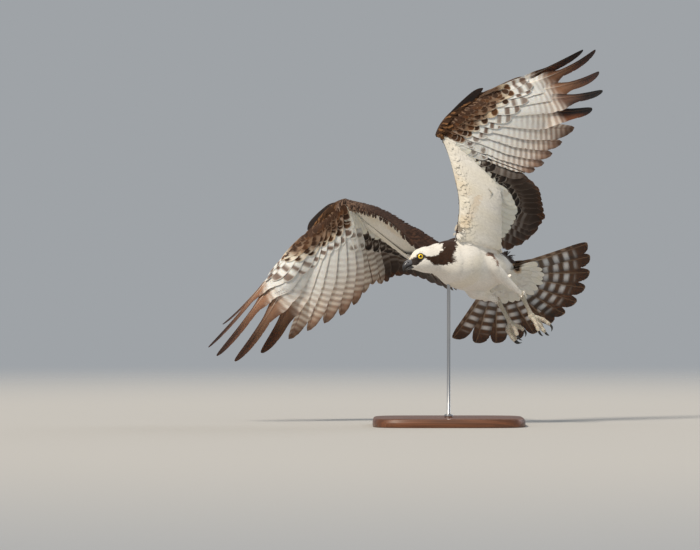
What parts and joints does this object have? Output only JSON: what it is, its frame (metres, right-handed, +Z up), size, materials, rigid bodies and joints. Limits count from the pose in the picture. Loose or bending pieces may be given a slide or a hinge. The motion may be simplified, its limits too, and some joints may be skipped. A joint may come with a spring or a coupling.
{
  "type": "osprey",
  "caption": "Life-size osprey in banking flight with spread wings and fanned tail, held up by a slim rod on a flat display base.",
  "frame": {"origin": "middle of the underside of the display base, under the rod", "axes": "+Z up; -X and -Y toward the way the bird flies, its left wing high and toward +X; -Y faces the viewer of the picture"},
  "size_m": [0.9561, 0.459, 0.9037],
  "materials": {
    "white_plumage": "soft off-white body feathers",
    "head_plumage": "white feathers with a dark brown eye stripe",
    "wing_plumage": "dark brown above, white and barred brown below",
    "tail_plumage": "grey-brown feathers with pale bars",
    "bill": "dark grey horn, blue-grey at the base",
    "eye": "clear yellow eye with a black pupil",
    "leg_scales": "pale cream scales",
    "claw": "black horn",
    "stand_wood": "dark stained, satin",
    "stand_steel": "brushed"
  },
  "bodies": {
    "root": {"torso": "white_plumage", "neck": "white_plumage", "head": "head_plumage", "bill_upper": "bill", "bill_lower": "bill", "eye_left": "eye", "eye_right": "eye", "wing_left": "wing_plumage", "wing_right": "wing_plumage", "tail": "tail_plumage", "thigh_left": "white_plumage", "thigh_right": "white_plumage", "tarsus_left": "leg_scales", "tarsus_right": "leg_scales", "foot_left": "leg_scales", "foot_right": "leg_scales", "claw_left_inner": "claw", "claw_left_middle": "claw", "claw_left_outer": "claw", "claw_left_hind": "claw", "claw_right_inner": "claw", "claw_right_middle": "claw", "claw_right_outer": "claw", "claw_right_hind": "claw", "stand_base": "stand_wood", "stand_rod": "stand_steel"}
  },
  "joints": []
}
